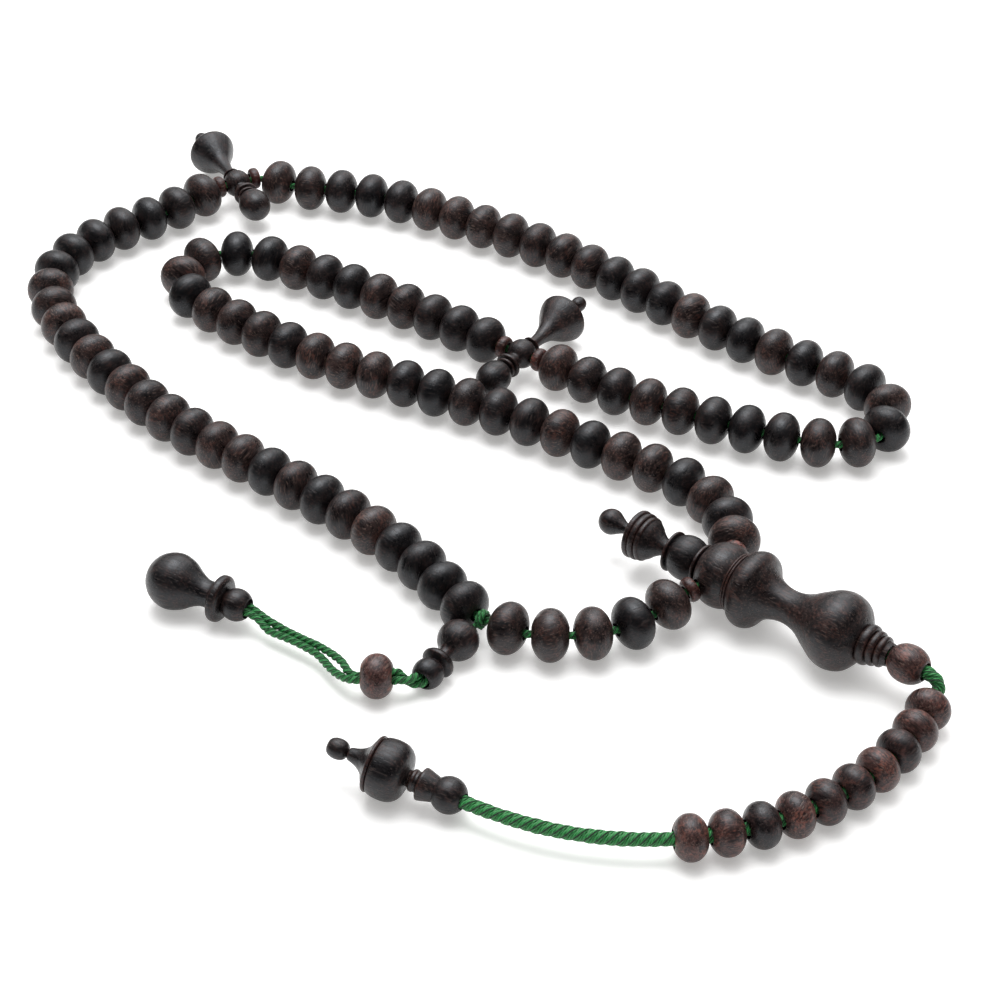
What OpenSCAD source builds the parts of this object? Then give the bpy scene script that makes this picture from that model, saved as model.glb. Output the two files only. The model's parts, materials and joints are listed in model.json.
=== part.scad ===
// Misbaha: a closed strand of turned wooden beads with two markers, a turned
// head piece (imame), a cord tail with ten counters and a side pendant.
// It lies on a table: +Z up, +Y along its longest extent, all lengths in mm.

/* [Beads] */
// Diameter of a strand bead
bead_d = 7.8; // [6.6:0.1:9.6]
// Length of a strand bead along its hole
bead_len = 5.4; // [4.5:0.1:6.6]
// Radial room between a bead's hole and the cord
bead_room = 0.25; // [0.2:0.05:0.35]
// Diameter of the spacer washers beside the markers and the head
washer_d = 3.8; // [3:0.1:4.8]
// Thickness of a spacer washer
washer_len = 1.6; // [1.2:0.1:2]

/* [Cords] */
// Diameter of the cord inside the strand
strand_cord_d = 1.6; // [1.2:0.1:2]
// Diameter of the tail cord
tail_cord_d = 2; // [1.6:0.1:2.4]
// Diameter of each of the pendant's two cords
pendant_cord_d = 1.2; // [1:0.05:1.5]

/* [Head] */
// Largest diameter of the head piece
head_d = 11.6; // [9.6:0.1:14]
// Diameter of the barrel that the strand enters
barrel_d = 9.8; // [8.6:0.1:11.6]
// Diameter of the ball above the barrel
head_ball_d = 6.7; // [5.6:0.1:8]
// Diameter of the ringed bell
bell_d = 7.3; // [6:0.1:8.8]
// Diameter of the loose ball below the head
tail_ball_d = 5.6; // [4.8:0.1:6.4]

/* [Markers] */
// Diameter of a marker's horn
horn_d = 8.2; // [6.8:0.1:9]
// Length of a marker's horn, from the ball's middle to the knob's middle
horn_len = 17.4; // [15:0.1:20]
// Diameter of a marker's pierced ball
marker_ball_d = 4.8; // [4.2:0.1:5.8]
// Diameter of a marker's drop
drop_d = 5.4; // [4.4:0.1:6.4]

/* [Counters] */
// Diameter of a counter
counter_d = 6.4; // [5.4:0.1:7.6]
// Length of a counter along its hole
counter_len = 4.4; // [3.6:0.1:5.2]
// Gap between two counters at rest
counter_gap = 0.35; // [0.2:0.05:0.6]
// Radial room between a counter's hole and the tail cord
counter_room = 0.35; // [0.3:0.05:0.5]

/* [Finials] */
// Diameter of the tail finial's barrel
finial_d = 8.4; // [7:0.1:10]
// Diameter of the pendant's pear
pear_d = 8.4; // [7:0.1:10]
// Diameter of the pendant's top ball
hub_d = 6; // [5:0.1:7.2]

/* [Hidden] */

wood = [0.17, 0.13, 0.12];
brown_wood = [0.36, 0.25, 0.22];
green = [0.13, 0.42, 0.24];
round_fn = 40;    // facets of a turned surface in the preview
cut = 0.01;       // how far a cutting shape runs past a face

// ---- vectors ----
function unit(v) = v / norm(v);
function heading(angle) = [cos(angle), sin(angle), 0];
function mix(a, b, t) = a + (b - a) * t;

// ---- smooth curve through hand-set points, centripetal Catmull-Rom ----
curve_steps = 8;
function knot_gap(a, b) = sqrt(norm(b - a));
function curve_point(a, b, c, d, t) =
    let (ab = knot_gap(a, b), bc = knot_gap(b, c), cd = knot_gap(c, d),
         m1 = (c - b) + bc * ((b - a) / ab - (c - a) / (ab + bc)),
         m2 = (c - b) + bc * ((d - c) / cd - (d - b) / (bc + cd)))
    (2 * pow(t, 3) - 3 * pow(t, 2) + 1) * b + (pow(t, 3) - 2 * pow(t, 2) + t) * m1
    + (3 * pow(t, 2) - 2 * pow(t, 3)) * c + (pow(t, 3) - pow(t, 2)) * m2;
function curve(p) =
    let (last = len(p) - 1, first_ghost = 2 * p[0] - p[1], last_ghost = 2 * p[last] - p[last - 1])
    [for (i = [0 : last - 1]) for (k = [0 : curve_steps - 1])
        curve_point(i == 0 ? first_ghost : p[i - 1], p[i], p[i + 1],
                    i == last - 1 ? last_ghost : p[i + 2], k / curve_steps),
     p[last]];

// running sums, so that a place can be looked up by its distance along a curve
function sums(steps) =
    [for (i = 0, s = 0; i <= len(steps); s = s + (i < len(steps) ? steps[i] : 0), i = i + 1) s];
function steps_of(p) = [for (i = [0 : len(p) - 2]) norm(p[i + 1] - p[i])];
function look(value, keys, p) =
    [for (axis = [0 : 2]) lookup(value, [for (i = [0 : len(p) - 1]) [keys[i], p[i][axis]]])];

// ---- heights above the table ----
table_gap = 0.03;
bead_z = bead_d / 2 + table_gap;
head_z = head_d / 2 + table_gap;
marker_z = max(bead_d, horn_d) / 2 + table_gap;
entry_z = mix(bead_z, head_z, 0.35);    // a bead next to the head is lifted a little

// ---- the strand's route: plan points set by hand for 5.4 mm beads ----
spread = bead_len / 5.4;
function lay(x, y, z = bead_z) = [x * spread, y * spread, z];

head_at = lay(39, -38.5, head_z);
marker_a_at = lay(-39.7, 75.4, marker_z);
marker_b_at = lay(10.5, 21, marker_z);
loop_at = lay(4.5, -46);

head_turn = -39;                 // heading of the head's axis, towards the tail
marker_a_turn = 116;             // headings of the markers' axes, towards their knobs
marker_b_turn = 57;
hole_lean = 20;                  // the head's two side holes lean towards its bell
front_hole_dir = heading(head_turn - 90 - hole_lean);
back_hole_dir = heading(head_turn + 90 + hole_lean);

front_route = [head_at, head_at + 5 * front_hole_dir, lay(31, -43.5, entry_z), lay(25.5, -47.5),
    lay(19.5, -49.5), lay(14, -49.5), lay(8.5, -49), loop_at];
left_route = [loop_at, lay(1.5, -43), lay(-4, -34), lay(-11.5, -25.5), lay(-20, -17.5), lay(-29, -10),
    lay(-37, -3.5), lay(-45.5, 4), lay(-53, 13), lay(-60.5, 23), lay(-65.8, 32.3), lay(-68.4, 40.5),
    lay(-67.4, 48.8), lay(-62.6, 56.4), lay(-56.5, 62), lay(-49.5, 67), marker_a_at - 4.5 * heading(marker_a_turn - 90),
    marker_a_at];
far_route = [marker_a_at, marker_a_at + 4.5 * heading(marker_a_turn - 90), lay(-31, 75), lay(-21, 73),
    lay(-10.5, 69.5), lay(4, 61), lay(14, 54.5), lay(26.5, 44), lay(38.5, 32.5), lay(51, 22), lay(60, 15.8),
    lay(65.4, 11.5), lay(68.3, 7), lay(68.5, 2.2), lay(66, -1.9), lay(61.5, -3.9), lay(56.5, -3.6), lay(51, -2),
    lay(45.5, 0.2),
    lay(35.5, 5), lay(25.5, 10.5), marker_b_at - 4.5 * heading(marker_b_turn + 90), marker_b_at];
inner_route = [marker_b_at, marker_b_at + 4.5 * heading(marker_b_turn + 90), lay(-4.5, 32.5),
    lay(-18.5, 42), lay(-28, 48), lay(-33.5, 51.3), lay(-38.3, 52.5), lay(-42.9, 51.3), lay(-46.2, 47.7),
    lay(-47, 43), lay(-45.2, 38.5), lay(-41.3, 35.1), lay(-35, 29.5), lay(-21, 19.5), lay(-5.5, 11.5), lay(9.5, 3.5), lay(23.5, -5.5),
    lay(32.5, -11.5), lay(37, -15.5), lay(40.5, -22), lay(41.5, -28, entry_z),
    head_at + 5 * back_hole_dir, head_at];

// ---- a bead: round, with small flat ends round its hole ----
bead_bore = strand_cord_d + 2 * bead_room;
counter_bore = tail_cord_d + 2 * counter_room;
outline_steps = 10;
round_power = 2.15;      // 2 would be an ellipse, more is fuller

function bead_outline(length, diameter, hole_d) =
    let (hole_share = (hole_d / 2 + 0.15) / (diameter / 2), reach = acos(hole_share),
         end_share = pow(sin(reach), 2 / round_power))
    [for (i = [-outline_steps : outline_steps]) let (a = reach * i / outline_steps)
        [length / 2 * sign(a) * pow(sin(abs(a)), 2 / round_power) / end_share,
         diameter / 2 * cos(a)]];

// ---- beads strung along a route ----
// Where the strand turns, two beads lean towards each other and their rims
// keep them apart. turn_need is the cord that a bead then takes, per bead length.
own_outline = bead_outline(bead_len, bead_d, bead_bore);
turn_spare = 1.1;        // spare for the steps that a bend is measured in
function turn_need(turn) =
    max([for (p = own_outline) p[0] + p[1] * tan(turn / 2)]) / (bead_len / 2);
function turn_at(p, i) =
    i == 0 || i == len(p) - 1 ? 0
    : let (u = p[i] - p[i - 1], v = p[i + 1] - p[i], swing = min(1, norm(cross(u, v)) / norm(u) / norm(v)),
           turn = min(50, asin(swing) / (norm(u) + norm(v)) * 2 * bead_len),
           longer = min(55, turn * turn_need(turn)))    // the bead takes more cord, so it turns more
      min(60, turn * turn_need(longer) * turn_spare);
function bead_counts(p) =
    [for (i = [0 : len(p) - 2])
        norm(p[i + 1] - p[i]) / bead_len / turn_need((turn_at(p, i) + turn_at(p, i + 1)) / 2)];

// A strung run is [edges of the beads, curve, distances, shares]
function strung(route, count, room_in, room_out) =
    let (p = curve(route), dist = sums(steps_of(p)), share = sums(bead_counts(p)), last = len(p) - 1,
         first_share = lookup(room_in, [for (i = [0 : last]) [dist[i], share[i]]]),
         last_share = lookup(dist[last] - room_out, [for (i = [0 : last]) [dist[i], share[i]]]))
    [[for (i = [0 : count]) look(mix(first_share, last_share, i / count), share, p)], p, dist,
     (last_share - first_share) / count];

loop_room = 0.9;       // half of the gap that the pendant's loop sits in
seat_gap = 0.15;       // clearance between a washer and its neighbours
head_room = barrel_d / 2 + washer_len + 2 * seat_gap;
marker_room = marker_ball_d / 2 + washer_len + 2 * seat_gap;
head_washer_at = barrel_d / 2 + seat_gap + washer_len / 2;
marker_washer_at = marker_ball_d / 2 + seat_gap + washer_len / 2;
front_run = strung(front_route, 5, head_room, loop_room);
left_run = strung(left_route, 28, loop_room, marker_room);
far_run = strung(far_route, 34, marker_room + 0.7, marker_room);    // the strand bends sharply here
inner_run = strung(inner_route, 33, marker_room, head_room);
echo(room_per_bead = [front_run[3], left_run[3], far_run[3], inner_run[3]]);

function place_at(run, distance) = look(distance, run[2], run[1]);
function run_length(run) = run[2][len(run[2]) - 1];

// ---- placing ----
// Turns +Z to the direction and moves the origin to the place
module aim(place, direction) {
    translate(place)
        rotate([0, acos(direction.z / norm(direction)), atan2(direction.y, direction.x)])
            children();
}

// A body turned on a lathe, from [distance along the axis, radius] points
module turned(outline) {
    rotate_extrude($fn = round_fn)
        polygon(concat([[0, outline[0][0]]], [for (p = outline) [p[1], p[0]]],
                       [[0, outline[len(outline) - 1][0]]]));
}

// Outline points of a round swelling: middle, half length, radius, ends' radius
function swell(middle, half, radius, end_radius, count = 8) =
    [for (i = [0 : count]) let (a = -90 + 180 * i / count)
        [middle + half * sin(a), end_radius + (radius - end_radius) * pow(cos(a), 0.9)]];

// The same with a hole right through, from an outline that ends outside the hole
module turned_ring(outline, hole_d) {
    last = len(outline) - 1;
    rotate_extrude($fn = round_fn)
        polygon(concat([for (p = outline) [p[1], p[0]]],
                       [[hole_d / 2, outline[last][0]], [hole_d / 2, outline[0][0]]]));
}

// ---- beads ----
module bead(length, diameter, hole_d) {
    turned_ring(bead_outline(length, diameter, hole_d), hole_d);
}

module run_bead(run, index) {
    a = run[0][index];
    b = run[0][index + 1];
    color(wood) aim((a + b) / 2, b - a) bead(bead_len, bead_d, bead_bore);
}

module run_beads(run, first, last) {
    for (index = [first : last]) run_bead(run, index);
}

// ---- cords ----
cord_sides = 8;
function ring_direction(p, i) =
    unit(i == 0 ? p[1] - p[0] : i == len(p) - 1 ? p[i] - p[i - 1]
         : unit(p[i] - p[i - 1]) + unit(p[i + 1] - p[i]));
module tube(p, diameter) {
    rings = len(p);
    points = [for (i = [0 : rings - 1])
        let (along = ring_direction(p, i), side = unit(cross(along, [0, 0, 1])), up = cross(side, along))
        for (k = [0 : cord_sides - 1])
            p[i] + diameter / 2 * (cos(360 * k / cord_sides) * side + sin(360 * k / cord_sides) * up)];
    walls = [for (i = [0 : rings - 2]) for (k = [0 : cord_sides - 1])
        let (a = i * cord_sides + k, b = i * cord_sides + (k + 1) % cord_sides)
        [a, b, b + cord_sides, a + cord_sides]];
    start_cap = [for (k = [cord_sides - 1 : -1 : 0]) k];
    end_cap = [for (k = [0 : cord_sides - 1]) (rings - 1) * cord_sides + k];
    polyhedron(points, concat(walls, [start_cap, end_cap]), convexity = 6);
}

// The strand's cord turns only between beads. Where the strand is nearly
// straight, every second corner is left out.
bend_limit = 4.5;    // degrees between two beads
function bend(edges, i) =
    let (u = unit(edges[i] - edges[i - 1]), v = unit(edges[i + 1] - edges[i])) acos(min(1, u * v));
function corners(edges) =
    [for (i = [0 : len(edges) - 1])
        if (i == 0 || i == len(edges) - 1 || i % 2 == 0 || bend(edges, i) > bend_limit
            || bend(edges, max(1, i - 1)) > bend_limit
            || bend(edges, min(len(edges) - 2, i + 1)) > bend_limit) edges[i]];
strand_end = 1.6;        // the strand's ends stop short of the tail cord in the head
strand_points = concat(
    [head_at + strand_end * front_hole_dir, head_at + 4.5 * front_hole_dir], corners(front_run[0]),
    corners(left_run[0]),
    [marker_a_at - 2.6 * heading(marker_a_turn - 90), place_at(far_run, marker_washer_at - washer_len / 2),
     place_at(far_run, marker_washer_at + washer_len / 2)],
    corners(far_run[0]),
    [marker_b_at - 2.6 * heading(marker_b_turn + 90), marker_b_at + 2.6 * heading(marker_b_turn + 90)],
    corners(inner_run[0]),
    [head_at + 4.5 * back_hole_dir, head_at + strand_end * back_hole_dir]);
echo(strand_rings = len(strand_points));
module strand_cord() { color(green) tube(strand_points, strand_cord_d); }

// ---- washers ----
module washer() {
    turned_ring(swell(0, washer_len / 2, washer_d / 2, washer_d / 2 - 0.55), bead_bore);
}
module washer_on(run, distance) {
    place = place_at(run, distance);
    ahead = place_at(run, distance + washer_len / 2);
    behind = place_at(run, distance - washer_len / 2);
    color(brown_wood) aim(place, ahead - behind) washer();
}
module imame_washer_front() { washer_on(front_run, head_washer_at); }
module imame_washer_back() { washer_on(inner_run, run_length(inner_run) - head_washer_at); }
module marker_a_washer_in() { washer_on(left_run, run_length(left_run) - marker_washer_at); }
module marker_a_washer_out() { washer_on(far_run, marker_washer_at); }
module marker_b_washer_in() { washer_on(far_run, run_length(far_run) - marker_washer_at); }
module marker_b_washer_out() { washer_on(inner_run, marker_washer_at); }

// ---- head (imame): distances run along its axis from the barrel's middle ----
head_bore = tail_cord_d + 2 * counter_room;
barrel_r = barrel_d / 2;
head_r = head_d / 2;
peg_d = 2;                // the finial's peg runs through the ball into the barrel
barrel_start = -3.3;
head_ball_at = -6.4;
bell_end = -9.2;
head_end = 28;
tail_ball_at = head_end + tail_ball_d / 2 + 0.1;

head_outline = concat(
    [[barrel_start, 2.9], [-2.9, 3.1]],
    [for (a = [-50 : 12.5 : 50]) [2.9 * sin(a) / sin(50), barrel_r - 1.3 * (1 - cos(a)) / (1 - cos(50))]],
    [[2.2, barrel_r - 1.1], [2.5, barrel_r - 0.5], [2.8, barrel_r - 0.5], [3, barrel_r - 1]],
    [for (p = curve([[3.2, head_r - 1.3, 0], [4, head_r - 0.35, 0], [5.2, head_r, 0], [6.4, head_r - 0.4, 0],
        [7.3, head_r - 1.6, 0], [8.6, head_r - 2.7, 0], [11, 2.5, 0], [13.4, 2.9, 0], [16, 4.4, 0],
        [18, head_r - 0.3, 0], [19.8, head_r, 0], [21.8, head_r - 0.6, 0], [23, head_r - 1.9, 0],
        [23.6, 3, 0]])) [p.x, p.y]],
    swell(24.4, 0.7, 3, 2.7, 4), swell(25.7, 0.55, 2.6, 2.3, 4), swell(26.8, 0.5, 2.3, 2, 4),
    [[27.5, 1.8], [head_end, 1.7]]);
bore_start = -2.2;        // the bore for the tail cord starts here, behind the peg's hole

module on_head() { aim(head_at, heading(head_turn)) children(); }
module imame_body() {
    color(wood) difference() {
        on_head() rotate_extrude($fn = round_fn)
            polygon(concat([for (p = head_outline) [p[1], p[0]]],
                           [[head_bore / 2, head_end], [head_bore / 2, bore_start], [peg_d / 2, bore_start],
                            [peg_d / 2, barrel_start]]));
        aim(head_at, front_hole_dir) cylinder(d = bead_bore, h = head_r, $fn = round_fn);
        aim(head_at, back_hole_dir) cylinder(d = bead_bore, h = head_r, $fn = round_fn);
    }
}

ball_half = 2.6;          // half length of the ball between its two flanges
head_ball_outline = concat(
    [[bell_end + 0.05, 2.4], [bell_end + 0.1, head_ball_d / 2 - 0.3], [bell_end + 0.5, head_ball_d / 2 - 0.3],
     [bell_end + 0.55, 2.5]],
    swell(head_ball_at, ball_half * 0.87, head_ball_d / 2, 2.3, 10),
    [[-4.1, 2.3], [-4.05, 3.1], [-3.6, 3.1], [-3.45, 2.2]]);
module imame_ball() {
    color(wood) on_head() turned_ring(head_ball_outline, peg_d);
}

knob_at = -20.1;
knob_r = 1.95;
bell_neck = 1.2;
bell_foot = bell_d / 2 - 0.57;    // where the bell starts to narrow to its neck
bell_outline = concat(
    [for (a = [-80 : 20 : 20]) [knob_at + knob_r * sin(a), knob_r * cos(a)]],
    [[-18.9, 1.55], [-18.2, 1.15], [-17.4, 0.82], [-16.7, 0.7], [-16.25, 0.85],
     [-16.15, bell_d / 2 - 2], [-15.95, bell_d / 2 - 0.45]],
    swell(-15.35, 0.42, bell_d / 2, bell_d / 2 - 0.25, 4),
    swell(-14.4, 0.46, bell_d / 2 - 0.05, bell_d / 2 - 0.3, 4),
    swell(-13.5, 0.4, bell_d / 2 - 0.25, bell_d / 2 - 0.5, 4),
    [for (p = curve([[-13, bell_foot, 0], [-12.4, mix(bell_neck, bell_foot, 0.8), 0],
        [-11.6, mix(bell_neck, bell_foot, 0.4), 0], [-10.7, mix(bell_neck, bell_foot, 0.1), 0],
        [bell_end - 0.5, bell_neck, 0], [bell_end - 0.05, 1.5, 0]])) [p.x, p.y]]);
peg_fit = 0.02;           // the peg is this much thinner than its hole
module imame_finial() {
    color(wood) on_head() {
        turned(bell_outline);
        translate([0, 0, bell_end - 1])
            cylinder(d = peg_d - 2 * peg_fit, h = 1 - bell_end + bore_start - 0.1, $fn = round_fn);
    }
}

module tail_ball() {
    color(brown_wood) on_head() translate([0, 0, tail_ball_at])
        bead(tail_ball_d - 0.2, tail_ball_d, head_bore);
}

// ---- markers: distances run along the axis from the pierced ball's middle ----
horn_rim_at = 0.75 * horn_len;
horn_outline = concat(
    [[marker_ball_d / 2 + 0.1, 0.9], [marker_ball_d / 2 + 0.15, 1.55], [marker_ball_d / 2 + 0.5, 1.55],
     [marker_ball_d / 2 + 0.6, 1]],
    [for (p = curve([[3.6, 0.95, 0], [5.6, 1.15, 0], [7.6, 1.7, 0], [9.4, 2.7, 0],
        [10.8, horn_d / 2 - 0.6, 0], [horn_rim_at - 0.6, horn_d / 2, 0], [horn_rim_at, horn_d / 2 - 0.25, 0],
        [horn_rim_at + 0.35, horn_d / 2 - 1, 0]])) [p.x, p.y]],
    [[horn_rim_at + 0.75, 1.6], [horn_rim_at + 1, 0.55], [horn_len - 1.5, 0.5]],
    swell(horn_len, 1.25, 1.25, 0.45, 8));
module horn() {
    turned(horn_outline);
    translate([0, 0, marker_ball_d / 2 - 0.9]) cylinder(r = 0.5 - peg_fit, h = 2, $fn = round_fn);
}

drop_at = -8.3;
marker_outline = concat(
    swell(drop_at, 3, drop_d / 2, 0.2, 12),
    [[-5.3, 1], [-5.15, 1.1], [-5.1, 1.7], [-4.7, 1.75], [-4.6, 1.4], [-4.4, 1.4], [-4.35, 2.05],
     [-3.9, 2.15], [-3.8, 1.5], [-2.3, 1.3]]);
module marker_ball() {
    difference() {
        union() {
            turned(marker_outline);
            sphere(d = marker_ball_d, $fn = round_fn);
        }
        rotate([90, 0, 0]) cylinder(d = bead_bore, h = 2 * marker_ball_d, center = true, $fn = round_fn);
        translate([0, 0, marker_ball_d / 2 - 0.9]) cylinder(r = 0.5, h = 2, $fn = round_fn);
    }
}
module on_marker(place, turn) { aim(place, heading(turn)) children(); }
module marker_a_ball() { color(wood) on_marker(marker_a_at, marker_a_turn) marker_ball(); }
module marker_a_horn() { color(wood) on_marker(marker_a_at, marker_a_turn) horn(); }
module marker_b_ball() { color(wood) on_marker(marker_b_at, marker_b_turn) marker_ball(); }
module marker_b_horn() { color(wood) on_marker(marker_b_at, marker_b_turn) horn(); }

// ---- tail: an arc of cord that the counters slide round ----
arc_centre = head_at + [-13, -8, 0];
arc_r = 43;
counter_z = counter_d / 2 + table_gap;
function on_arc(angle, z = counter_z) =
    [arc_centre.x + arc_r * cos(angle), arc_centre.y + arc_r * sin(angle), z];
counter_step = (counter_len + counter_gap + 0.1) / arc_r * 180 / PI;
first_counter = -24.6;
last_counter = first_counter - 9 * counter_step;
tail_end = -124;
finial_ball_r = 2.55;
tail_end_z = 3.05;

tail_exit = head_at + (tail_ball_at + tail_ball_d / 2 - 0.1) * heading(head_turn);
tail_bend = [tail_exit, tail_exit + [0.6, -0.5, -0.1], tail_exit + [1.5, -1.1, -0.7],
    tail_exit + [1.7, -1.8, -1.6], on_arc(first_counter + 3.6, counter_z + 0.1)];
arc_step = 7;
tail_points = concat(
    [head_at], tail_bend,
    [for (a = [first_counter + 1.2 : -arc_step : tail_end + 6]) on_arc(a)],
    [on_arc(tail_end + 3, mix(tail_end_z, counter_z, 0.4)), on_arc(tail_end, tail_end_z)]);
echo(tail_rings = len(tail_points));
module tail_cord() { color(green) tube(tail_points, tail_cord_d); }

module counter(index) {
    angle = first_counter - index * counter_step;
    color(brown_wood) aim(on_arc(angle), heading(angle - 90)) bead(counter_len, counter_d, counter_bore);
}

// ---- tail finial: distances run along its axis from the ball's middle ----
barrel_at = 8.6;
finial_ball_at = on_arc(tail_end, tail_end_z) + (finial_ball_r - 0.6) * heading(tail_end - 90);
finial_rise = finial_d / 2 - tail_end_z;
finial_dir = let (flat = heading(tail_end - 80)) unit(flat * sqrt(pow(barrel_at, 2) - pow(finial_rise, 2))
    + [0, 0, finial_rise]);
module on_finial() { aim(finial_ball_at, finial_dir) children(); }
finial_peg_d = 1.6;
module finial_ball() {
    color(wood) difference() {
        finial_ball_turned();
        aim(on_arc(tail_end, tail_end_z), on_arc(tail_end, tail_end_z) - finial_ball_at)
            translate([0, 0, -0.7]) cylinder(d = tail_cord_d + 0.3, h = 3, $fn = round_fn);
    }
}
module finial_ball_turned() {
    on_finial() difference() {
        sphere(r = finial_ball_r, $fn = round_fn);
        translate([0, 0, 1.2]) cylinder(d = finial_peg_d, h = 2, $fn = round_fn);
    }
}
module finial_spool() {
    color(wood) on_finial() difference() {
        turned([[2, 1.4], [2, 1.75], [3.6, 2.25], [4, 2.3], [4.15, 2.1], [4.4, 1.5], [4.8, 1.45], [5, 1.6],
                [5.4, 1.55], [5.6, 1.2], [5.9, 1.15]]);
        sphere(r = finial_ball_r + 0.02, $fn = round_fn);
        translate([0, 0, 1]) cylinder(d = finial_peg_d, h = 6, $fn = round_fn);
    }
}
flange_at = 11;
module finial_barrel() {
    color(wood) on_finial() difference() {
        turned(concat([[5.95, 1.2], [5.95, 1.5]],
            [for (p = curve([[6.05, 2.2, 0], [6.4, finial_d / 2 - 1, 0], [7.3, finial_d / 2 - 0.25, 0],
                [8.6, finial_d / 2, 0], [9.9, finial_d / 2 - 0.1, 0], [10.5, finial_d / 2 - 0.3, 0]]))
                [p.x, p.y]],
            [[10.6, finial_d / 2 - 0.45]]));
        translate([0, 0, 5]) cylinder(d = finial_peg_d, h = 7, $fn = round_fn);
    }
}
module finial_tip() {
    color(wood) on_finial() {
        turned(concat(
            [[10.65, 1.4], [10.65, finial_d / 2 - 0.35], [flange_at - 0.1, finial_d / 2 - 0.2],
             [flange_at + 0.15, finial_d / 2 - 0.3], [flange_at + 0.35, finial_d / 2 - 0.8]],
            [for (p = curve([[flange_at + 0.6, 3, 0], [12.2, 2, 0], [13.2, 1.3, 0], [14.6, 0.85, 0]]))
                [p.x, p.y]],
            swell(16.3, 1.45, 1.45, 0.5, 10)));
        translate([0, 0, 1.3]) cylinder(d = finial_peg_d - 2 * peg_fit, h = 9.6, $fn = round_fn);
    }
}

// ---- pendant: a hub hung on the strand, two cords, a rondelle and a pear ----
hub_turn = -123;                 // heading of the pendant's axis, away from the hub
hub_dir = unit(heading(hub_turn) + [0, 0, -0.09]);    // it leans down to the table
hub_z = hub_d / 2 + table_gap;
hub_at = [loop_at.x - 3.35, loop_at.y - 3.55, hub_z];
module on_hub() { aim(hub_at, hub_dir) children(); }
loop_cord_d = 1.1;
loop_r = strand_cord_d / 2 + loop_cord_d / 2 + 0.08;
loop_dir = unit(hub_at - loop_at);
module pendant_loop() {
    along = left_run[0][0] - front_run[0][5];
    color(green) difference() {
        union() {
            aim(loop_at, along) rotate_extrude($fn = round_fn)
                translate([loop_r, 0]) circle(d = loop_cord_d, $fn = 24);
            aim(loop_at + loop_r * loop_dir, loop_dir) cylinder(d = loop_cord_d, h = 1, $fn = 24);
        }
        translate(hub_at) sphere(d = hub_d + 0.02, $fn = round_fn);
    }
}
module pendant_hub() {
    color(wood) {
        translate(hub_at) sphere(d = hub_d, $fn = round_fn);
        on_hub() turned([[hub_d / 2 - 0.6, 1.2], [hub_d / 2 - 0.2, 1.3], [hub_d / 2 + 0.4, 1.05],
                         [hub_d / 2 + 1, 1.1]]);
    }
}
cup_ball_r = 2.25;
cup_ball_at = hub_d / 2 + 4.6;
pair_bore = 2 * pendant_cord_d + 0.7;
module pendant_cup() {
    color(wood) on_hub() difference() {
        union() {
            translate([0, 0, hub_d / 2])
                turned([[1.05, 1], [1.1, 1.5], [1.5, 2.2], [2, 2.5], [2.4, 2.45], [2.7, 2.1], [2.9, 1.5],
                        [4.6, 1.2]]);
            translate([0, 0, cup_ball_at]) sphere(r = cup_ball_r, $fn = round_fn);
        }
        translate([0, 0, cup_ball_at]) cylinder(d = pair_bore, h = 4, $fn = round_fn);
    }
}

// The two pendant cords run from the cup through the rondelle to the pear
function by_loop(x, y, z) = [x + loop_at.x - 4.5, y + loop_at.y + 46, z];
pair_half = pendant_cord_d / 2 + 0.02;
rondelle_at = by_loop(-10, -57.5, counter_z);
rondelle_turn = 177;
pear_turn = 154;
pear_ball_r = 2.4;
pear_ring_r = 3.5;
pear_at = 10.3;
pear_ball_at = by_loop(-30.5, -42.3, pear_ring_r + table_gap);
pear_dir = unit(heading(pear_turn) + [0, 0, (pear_d / 2 - pear_ring_r) / pear_at]);
cup_exit = hub_at + (cup_ball_at + 0.9) * hub_dir;
function beside(place, turn, side, low = 0) = place + side * pair_half * heading(turn - 90) - [0, 0, low];
function pair_start(side) = [
    beside(cup_exit, hub_turn, side),
    by_loop(-5.4, -57.6, 2.5) - side * [0, pair_half, 0],
    beside(rondelle_at - 3.6 * heading(rondelle_turn), rondelle_turn, side, 0.2),
    beside(rondelle_at, rondelle_turn, side),
    beside(rondelle_at + 3.4 * heading(rondelle_turn), rondelle_turn, side)];
function pair_end(side) = beside(pear_ball_at - 1.7 * pear_dir, pear_turn, side);
back_route = concat(pair_start(1),
    [by_loop(-15, -53.5, 3), by_loop(-18.5, -49.5, 2.7), by_loop(-22.5, -47, 2.6),
     by_loop(-25.5, -44.6, 2.9)],
    [pair_end(1)]);
front_pair_route = concat(pair_start(-1),
    [by_loop(-15.5, -55.6, 2.8), by_loop(-18.5, -52, 2.6), by_loop(-22.5, -48.8, 2.4),
     by_loop(-25.5, -46.8, 2.6), by_loop(-27.3, -45, 3.1)],
    [pair_end(-1)]);
module pendant_cord_front() { color(green) tube(front_pair_route, pendant_cord_d); }
module pendant_cord_back() { color(green) tube(back_route, pendant_cord_d); }
module pendant_rondelle() {
    color(brown_wood) aim(rondelle_at, heading(rondelle_turn)) bead(counter_len, counter_d, pair_bore);
}

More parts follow.
